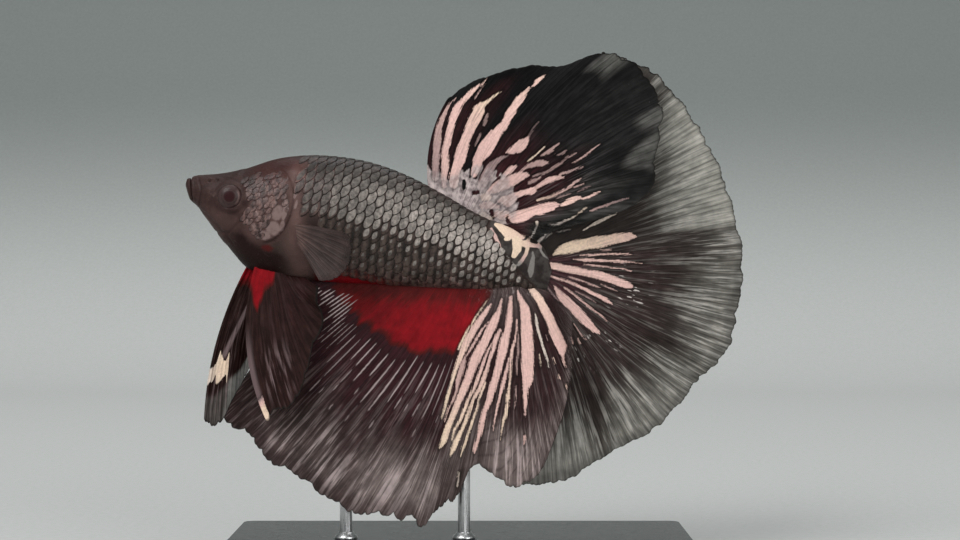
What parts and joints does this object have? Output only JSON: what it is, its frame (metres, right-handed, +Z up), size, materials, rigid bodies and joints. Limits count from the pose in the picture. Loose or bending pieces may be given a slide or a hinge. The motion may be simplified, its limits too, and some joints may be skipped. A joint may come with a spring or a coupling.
{
  "type": "halfmoon betta fish",
  "caption": "Life-size halfmoon betta fish with spread dorsal, tail and anal fins, held nose-up on a small flat display stand by two upright rods.",
  "frame": {"origin": "centre of the stand base's underside, on the surface it stands on", "axes": "+X from the fish's head towards its tail fin, +Y to the fish's right side (away from the viewer), +Z up"},
  "size_m": [0.0724, 0.038, 0.067],
  "materials": {
    "snout_skin": "satin, dark red-brown, finely speckled",
    "body_skin": "satin dark skin under rows of silver-grey scales",
    "gill_cover_skin": "satin, speckled silver-pink scales",
    "eye_gloss": "clear gloss over a dark iris and pupil",
    "dorsal_membrane": "satin black with pink-cream ray stripes",
    "caudal_membrane": "satin black-brown, smoky and translucent towards the edge",
    "anal_membrane": "satin maroon-black with a red base and pink-cream stripes behind",
    "pelvic_membrane": "satin dark brown with cream tips",
    "pectoral_membrane": "thin, smoky and translucent",
    "stand_acrylic": "polished dark plate",
    "stand_steel": "fine brushed rods"
  },
  "bodies": {
    "root": {"jaw_lower": "snout_skin", "jaw_upper": "snout_skin", "head": "snout_skin", "trunk": "body_skin", "tail_stalk": "body_skin", "gill_cover_left": "gill_cover_skin", "gill_cover_right": "gill_cover_skin", "eye_left": "eye_gloss", "eye_right": "eye_gloss", "dorsal_fin": "dorsal_membrane", "caudal_fin": "caudal_membrane", "anal_fin": "anal_membrane", "pelvic_fin_left": "pelvic_membrane", "pelvic_fin_right": "pelvic_membrane", "pectoral_fin_left": "pectoral_membrane", "pectoral_fin_right": "pectoral_membrane", "stand_base": "stand_acrylic", "stand_rod_front": "stand_steel", "stand_rod_rear": "stand_steel"}
  },
  "joints": []
}
